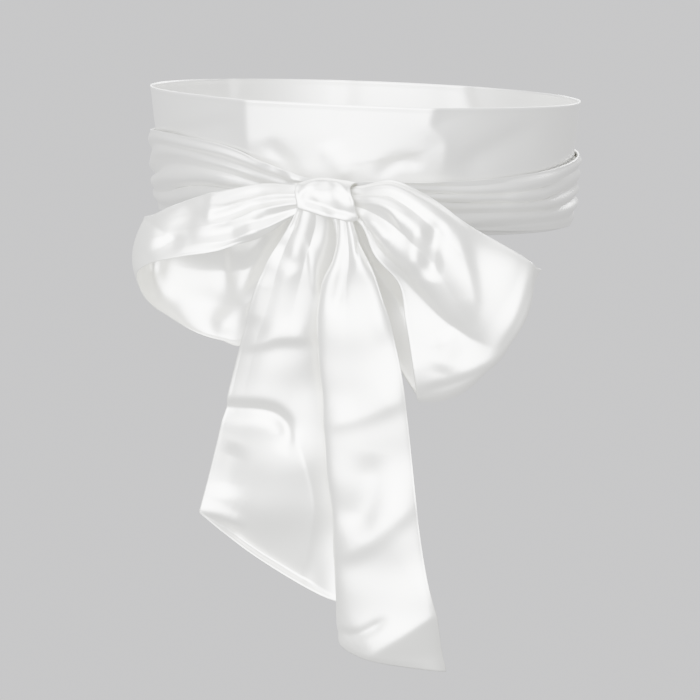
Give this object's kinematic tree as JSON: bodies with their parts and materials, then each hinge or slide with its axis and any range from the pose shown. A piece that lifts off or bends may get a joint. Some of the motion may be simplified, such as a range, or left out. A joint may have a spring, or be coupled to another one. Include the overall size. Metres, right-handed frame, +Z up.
{
  "type": "satin sash",
  "caption": "Satin ribbon sash wound twice round a waist, the outer turn gathered and tied at the front in a drooping bow with two slant-cut hanging ends.",
  "frame": {"origin": "the middle of the waist that the sash is worn on, half way up the smooth turn", "axes": "+Z up, -Y to the front where the bow is, +X to the wearer's left"},
  "size_m": [0.3004, 0.2694, 0.3685],
  "materials": {
    "satin_smooth": "white satin, smooth and glossy",
    "satin_gathered": "white satin, gathered",
    "satin_bow": "white satin, glossy, softly creased"
  },
  "bodies": {
    "root": {"band": "satin_smooth", "gathered_turn": "satin_gathered", "knot": "satin_bow", "loop_left": "satin_bow", "loop_right": "satin_bow", "tail_left": "satin_bow", "tail_right": "satin_bow"}
  },
  "joints": []
}
